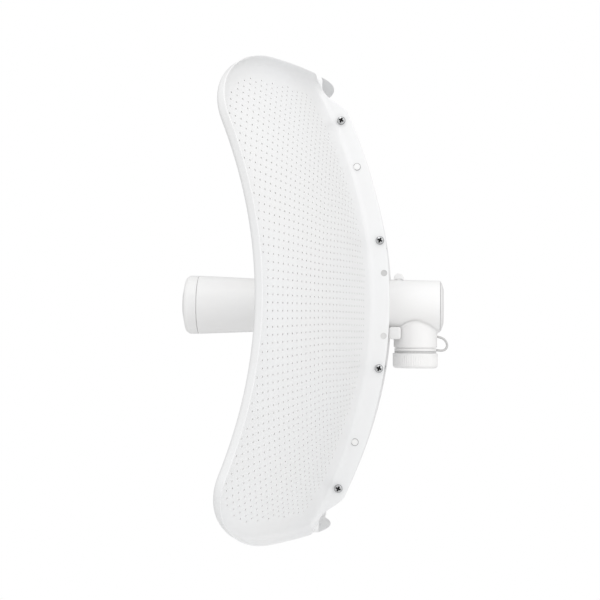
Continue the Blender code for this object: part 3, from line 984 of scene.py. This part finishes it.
def saddle(angle, radius, height):
    """Bend the neck's top rows to the housing and flare them out into it."""
    u, v, _ = axis_frame(DOWN)
    x = radius * (np.cos(angle) * u[0] + np.sin(angle) * v[0])
    y = PORT_Y + radius * (np.cos(angle) * u[1] + np.sin(angle) * v[1])
    top = -np.sqrt(np.maximum(housing_radius(y) ** 2 - x ** 2, 4.0))
    share = np.clip((height - NECK_END - 2.0) / (0.0 - NECK_END - 2.0), 0.0, 1.0)
    inside_rows = radius < NECK_RADIUS - 0.5
    height = np.where(share > 0.0, NECK_END + 2.0 + share * (top - NECK_END - 2.0), height)
    gap = np.clip(1.0 - (top - height) / 3.0, 0.0, 1.0)
    flare = 1.6 * gap ** 3 * (share > 0.0)
    return np.where(inside_rows, radius, radius + flare), height


neck = [(0.0, SPIGOT_END), (SPIGOT_RADIUS, SPIGOT_END, 0.6), (SPIGOT_RADIUS, RING_TOP + 0.15, 0.2),
        (18.4, RING_TOP + 0.15, 0.2), (18.4, NECK_END, 0.2), (NECK_RADIUS, NECK_END, 0.5), (NECK_RADIUS, NECK_END + 2.0)]
neck = rounded(neck)
rise = np.linspace(0.06, 1.0, 26)[:, None]
wall_rows = np.concatenate([np.full_like(rise, NECK_RADIUS), (NECK_END + 2.0) * (1.0 - rise)], 1)
neck = np.concatenate([neck, wall_rows, [[NECK_RADIUS - 3.0, 0.0], [0.0, -12.0]]])
add_piece("port_neck_body", "port_neck", *turned(neck, PORT, DOWN, 96, saddle), housing_white, "white_plastic")

# %% [markdown]
# ### Ring, seal and cap
#
# The strap's ring and a rubber seal sit between the neck and the screwed cap. The cap's skirt has
# fine upright ribs for grip: a cosine of the angle added to its radius.

# %% Strap ring, seal and ribbed cap
RING_END = -40.3
CAP_TOP = -42.3
CAP_END = -55.8
CAP_RADIUS = 20.3
CAP_RIBS = 60
CAP_FOOT = 3.2
inner = SPIGOT_RADIUS + 0.3

hoop = rounded([(17.6, RING_END), (18.9, RING_END, 0.5), (18.9, RING_TOP, 0.5), (inner, RING_TOP, 0.2),
                (inner, RING_END, 0.2), (17.6, RING_END)])[:-1]
add_piece("strap_hoop", "strap_ring", *turned(hoop, PORT, DOWN, 96, ring=True), housing_white, "white_plastic")

gasket = rounded([(17.5, CAP_TOP + 0.15), (18.8, CAP_TOP + 0.15, 0.5), (18.8, RING_END - 0.15, 0.5),
                  (inner, RING_END - 0.15, 0.2), (inner, CAP_TOP + 0.15, 0.2), (17.5, CAP_TOP + 0.15)])[:-1]
add_piece("seal_band", "port_seal", *turned(gasket, PORT, DOWN, 72, ring=True), rubber, "seal")


def ribs(angle, radius, height):
    """Ribs on the skirt only, fading out near its top and bottom."""
    fade = smooth(height, CAP_END + 1.6, CAP_END + 3.2) * (1.0 - smooth(height, CAP_TOP - 2.6, CAP_TOP - 1.6))
    skirt = radius > CAP_RADIUS - 0.6
    wave = 0.5 + 0.5 * np.cos(CAP_RIBS * angle)
    return radius - np.where(skirt, 0.32 * fade * wave ** 2, 0.0), height


skirt_rows = [(CAP_RADIUS, h) for h in np.linspace(CAP_END + 4.0, CAP_TOP - 1.4, 12)]
foot = 0.5 * np.pi * np.arange(9) / 8
foot = np.stack([CAP_RADIUS - CAP_FOOT * (1.0 - np.sin(foot)), CAP_END + CAP_FOOT * (1.0 - np.cos(foot))], -1)
cap = rounded([(0.0, CAP_END), *foot.tolist(), *skirt_rows, (CAP_RADIUS, CAP_TOP, 0.6),
               (inner, CAP_TOP, 0.3), (inner, SPIGOT_END - 0.3), (0.0, SPIGOT_END - 0.3)], 7)
add_piece("port_screw_cap", "port_cap", *turned(cap, PORT, DOWN, CAP_RIBS * 6, ribs), housing_white, "white_plastic")

# %% [markdown]
# ### The strap that keeps the cap
#
# A soft plastic strap runs from the neck in a bow to the ring. It is a flattened circle carried
# along a smooth curve.

# %% Strap


def smooth_path(points, count):
    """A Catmull-Rom curve through the points, resampled to even steps."""
    points = np.asarray(points, float)
    padded = np.concatenate([[2 * points[0] - points[1]], points, [2 * points[-1] - points[-2]]])
    t = np.linspace(0.0, 1.0, 24)[:, None]
    pieces = []
    for k in range(1, len(padded) - 2):
        a, b, c, d = padded[k - 1:k + 3]
        pieces.append(0.5 * (2 * b + (c - a) * t + (2 * a - 5 * b + 4 * c - d) * t ** 2
                             + (3 * b - a - 3 * c + d) * t ** 3))
    fine = np.concatenate(pieces)
    walked = np.concatenate([[0.0], np.cumsum(np.linalg.norm(np.diff(fine, axis=0), axis=1))])
    even = np.linspace(0.0, walked[-1], count)
    return np.stack([np.interp(even, walked, fine[:, k]) for k in range(3)], -1)


def swept(path, wide, thick, sides=20):
    """An ellipse carried along a path that lies in an upright plane, closed at both ends."""
    ahead = unit(np.gradient(path, axis=0))
    sideways = np.broadcast_to(np.array([1.0, 0.0, 0.0]), path.shape)
    normal = np.cross(sideways, ahead)
    angle = 2.0 * np.pi * np.arange(sides) / sides
    points = (path[:, None] + wide * np.cos(angle)[None, :, None] * sideways[:, None]
              + thick * np.sin(angle)[None, :, None] * normal[:, None]).reshape(-1, 3)
    rows = len(path)
    points = np.concatenate([points, path[[0, -1]]])
    c = np.arange(sides)
    n = (c + 1) % sides
    last = (rows - 1) * sides
    fans = [np.stack([n, c, np.full(sides, rows * sides)], -1)]
    fans.append(np.stack([last + c, last + n, np.full(sides, rows * sides + 1)], -1))
    return points, grid_quads(rows, sides), np.concatenate(fans)


neck_back = PORT_Y + NECK_RADIUS
hoop_back = PORT_Y + 18.9
bow = [(neck_back - 0.6, -27.2), (neck_back + 3.8, -28.3), (neck_back + 6.8, -30.2), (neck_back + 8.7, -33.2),
       (neck_back + 8.8, -36.4), (neck_back + 7.0, -38.9), (neck_back + 4.0, -39.8), (hoop_back - 0.5, -39.3)]
bow = [(0.0, y, z) for y, z in bow]
add_piece("cap_strap_band", "cap_strap", *swept(smooth_path(bow, 70), 1.6, 1.05), strap_grey, "white_plastic")

# %% [markdown]
# ## Screws, nuts, pegs and discs
#
# Each flange pair is held by four small screws with washers, with a nut inside. Two white pegs
# line the panels up, and two grey discs fill unused holes. A screw's cross recess is cut into its dome by lowering
# the points that fall inside the cross, and there and under the head it is painted near-black as painted shade.

# %% Screw, nut and pin shapes
SEAM = 63.65
SCREWS = ((159.4, -32.3), (55.4, 2.0), (-55.4, 2.0), (-159.4, -32.3))
PEG = (119.2, -18.3)
DISC = (27.2, 5.8)
FLANGE_TOP = FLANGE_FACE - SEAM


HEAD_BASE = FLANGE_TOP + 1.75


def cross(x, y):
    """1 inside two crossed slots of a screw's recess, 0 outside and smooth between."""
    x, y = np.abs(x), np.abs(y)
    return np.maximum(smooth(-x, -0.8, -0.5) * smooth(-y, -2.3, -1.8),
                      smooth(-y, -0.8, -0.5) * smooth(-x, -2.3, -1.8))


def cross_recess(angle, radius, height):
    """Lower the top of the head inside the cross."""
    slot = cross(radius * np.cos(angle + 0.4), radius * np.sin(angle + 0.4))
    return radius, height - np.where(height > HEAD_BASE, 1.25 * slot, 0.0)


def recess_shade_mask(points, here, direction):
    """How far each point of a screw lies inside the cross, or in the groove under the head: the places that get
    painted near-black shade.
    """
    u, v, w = axis_frame(direction)
    away = points - here
    x, y, height = away @ u, away @ v, away @ w
    angle = np.arctan2(y, x) + 0.4
    radius = np.hypot(x, y)
    slot = cross(radius * np.cos(angle), radius * np.sin(angle)) * (height > FLANGE_TOP + 0.9) * (radius < 2.6)
    groove = smooth(-np.abs(height - FLANGE_TOP - 0.95), -0.3, -0.1) * (radius > 2.9) * (radius < 3.3)
    return np.maximum(slot, groove)


def screw_profile():
    """Shank, washer and domed head, with close rows over the dome for the recess."""
    seat = FLANGE_TOP + 0.05
    washer = seat + 0.8
    shank = -6.2
    lower = [(0.0, shank), (1.9, shank, 0.3), (1.9, seat), (3.75, seat, 0.15), (3.75, washer, 0.25),
             (3.15, washer), (3.2, washer + 0.9, 0.35)]
    r = np.linspace(3.15, 0.12, 26)
    crown = washer + 1.0 + 1.3 * np.sqrt(np.maximum(1.0 - (r / 3.35) ** 2, 0.0))
    rows = rounded([*lower, (r[0], crown[0])])
    top = washer + 2.3
    return np.concatenate([rows, np.stack([r, crown], -1)[1:], [[0.0, top - 1.25]]])


def hexagon(angle, radius, height):
    """Six flats 7 mm apart, with their corners turned off near both faces of the nut."""
    flat = 3.5 / np.cos((angle % (np.pi / 3.0)) - np.pi / 6.0)
    middle = -(FLANGE_TOP + 0.15 + 1.5)
    cone = 4.06 - 0.9 * np.maximum(np.abs(height - middle) - 1.05, 0.0)
    return np.where(radius > 3.0, np.minimum(flat, cone), radius), height


def nut_profile():
    seat = -(FLANGE_TOP + 0.15)
    return np.array([(2.2, seat), (3.2, seat), *[(4.0, h) for h in np.linspace(seat - 0.1, seat - 2.9, 9)],
                     (3.2, seat - 3.0), (2.2, seat - 3.0)])


def shadow_ring_profile(radius, seat=0.12):
    """The start of a pin's profile: a thin ring at the rim of its clearance hole, painted dark as a painted shadow of
    the gap round the pin.
    """
    return [(radius + 0.45, FLANGE_TOP + 0.02), (radius + 0.45, FLANGE_TOP + seat), (radius, FLANGE_TOP + seat)]


def shadow_ring_mask(points, here, direction, radius):
    """1 on the thin ring round a pin, which carries a painted shadow, 0 on the pin itself."""
    away = points - here
    height = away @ np.array(direction)
    out = np.linalg.norm(away - height[:, None] * np.array(direction), axis=-1)
    return ((out > radius - 0.01) & (np.abs(height - FLANGE_TOP) < 0.3)).astype(float)


def pin_profile(radius, proud, dish):
    """A round pin through both flanges. A dished one has a shallow hollow in its end."""
    top = FLANGE_TOP + proud
    start = -(FLANGE_TOP + 0.05)
    if dish:
        return rounded([(0.0, start), (radius - 0.1, start, 0.2), (radius - 0.1, FLANGE_TOP - 0.2),
                        (radius, FLANGE_TOP - 0.2), (radius, top, 0.2), (radius - 0.5, top, 0.15),
                        (radius - 0.75, top - 0.22, 0.15), (0.0, top - 0.22)])
    return rounded([(0.0, start), (radius, start, 0.3), (radius, FLANGE_TOP + 0.02), *shadow_ring_profile(radius),
                    (radius, FLANGE_TOP + 0.35), (radius, top, 0.7), (0.0, top)], 7)


# %% Set them all in their places
for side, side_name in ((1.0, "near"), (-1.0, "far")):
    direction = (side, 0.0, 0.0)
    for number, (z, y) in enumerate(SCREWS, 1):
        here = np.array([side * SEAM, y, z])
        screw = turned(screw_profile(), here, direction, 64, cross_recess)
        piece = add_piece(f"{side_name}_flange_screw_{number}", f"{side_name}_screw_{number}", *screw, steel, "steel", 50.0)
        paint_shade(piece.data, "POINT", recess_shade_mask(screw[0], here, direction))
        nut = turned(nut_profile(), here, direction, 48, hexagon, ring=True)
        add_piece(f"{side_name}_flange_nut_{number}", f"{side_name}_nut_{number}", *nut, steel, "steel", 25.0)
    for sign, level in ((1.0, "upper"), (-1.0, "lower")):
        here = np.array([side * SEAM, PEG[1], sign * PEG[0]])
        peg = turned(pin_profile(2.75, 1.3, False), here, direction, 40)
        piece = add_piece(f"{side_name}_locating_peg_{level}", f"{side_name}_peg_{level}", *peg, peg_white, "white_panel")
        paint_shade(piece.data, "POINT", shadow_ring_mask(peg[0], here, direction, 2.75))
        here = np.array([side * SEAM, DISC[1], sign * DISC[0]])
        disc = turned(pin_profile(2.75, 0.25, True), here, direction, 40)
        add_piece(f"{side_name}_hole_disc_{level}", f"{side_name}_plug_{level}", *disc, disc_greys_painted_light_and_shade[level], "grey_plastic")

# %% [markdown]
# ## Floor and light
#
# The floor is a wide pale plane well below the dish. The sky's brightness is a plain formula of
# direction, brightest from above and least from below, which gives white sheet the same soft
# shades as a light tent.

# %% Floor
FLOOR_Z = -0.62
FLOOR_REACH = 1.15
floor_data = bpy.data.meshes.new("floor")
floor_angle = 2.0 * np.pi * np.arange(128) / 128
rim = np.stack([FLOOR_REACH * np.cos(floor_angle), FLOOR_REACH * np.sin(floor_angle),
                np.full(128, FLOOR_Z)], -1)
floor_data.from_pydata(rim.tolist(), [], [list(range(128))])
floor_finish = Finish("studio_floor")
soft_stain = floor_finish.noise(3.0)
floor_data.materials.append(floor_finish.set(Base_Color=floor_finish.blend(soft_stain, grey(0.9), grey(0.92)),
                                             Roughness=0.8))
floor = bpy.data.objects.new("floor", floor_data)
bpy.context.scene.collection.objects.link(floor)

# %% Sky and lamps


def build_sky():
    """Brightness = a base level + the direction's dot product with the way the light leans."""
    world = bpy.data.worlds.new("sky")
    bpy.context.scene.world = world
    world.use_nodes = True
    tree = world.node_tree
    background = tree.nodes["Background"]
    background.inputs["Color"].default_value = (1.0, 1.0, 1.0, 1.0)
    where = tree.nodes.new("ShaderNodeTexCoord")
    dot = tree.nodes.new("ShaderNodeVectorMath")
    dot.operation = "DOT_PRODUCT"
    dot.inputs[1].default_value = (0.38, 0.15, 0.24)
    tree.links.new(where.outputs["Generated"], dot.inputs[0])
    add = tree.nodes.new("ShaderNodeMath")
    add.inputs[1].default_value = 0.75
    tree.links.new(dot.outputs["Value"], add.inputs[0])
    path = tree.nodes.new("ShaderNodeLightPath")
    mix = tree.nodes.new("ShaderNodeMix")
    tree.links.new(path.outputs["Is Camera Ray"], mix.inputs[0])
    tree.links.new(add.outputs[0], mix.inputs[2])
    mix.inputs[3].default_value = 1.0
    tree.links.new(mix.outputs[0], background.inputs["Strength"])


build_sky()


def soft_box(name, at, size, power):
    """A round soft light that faces the middle of the dish."""
    data = bpy.data.lights.new(name, "AREA")
    data.shape = "DISK"
    data.size = size
    data.energy = power
    lamp = bpy.data.objects.new(name, data)
    bpy.context.scene.collection.objects.link(lamp)
    away = unit(np.array(at))
    aside = unit(np.cross([0.0, 0.0, 1.0], away))
    stand = np.eye(4)
    stand[:3, :3] = np.stack([aside, np.cross(away, aside), away], -1)
    stand[:3, 3] = at
    lamp.matrix_world = Matrix(stand.tolist())


soft_box("soft_box_above", (0.75, -0.35, 1.0), 0.9, 2.4)
soft_box("soft_box_behind", (1.0, 0.95, 0.25), 0.6, 0.8)
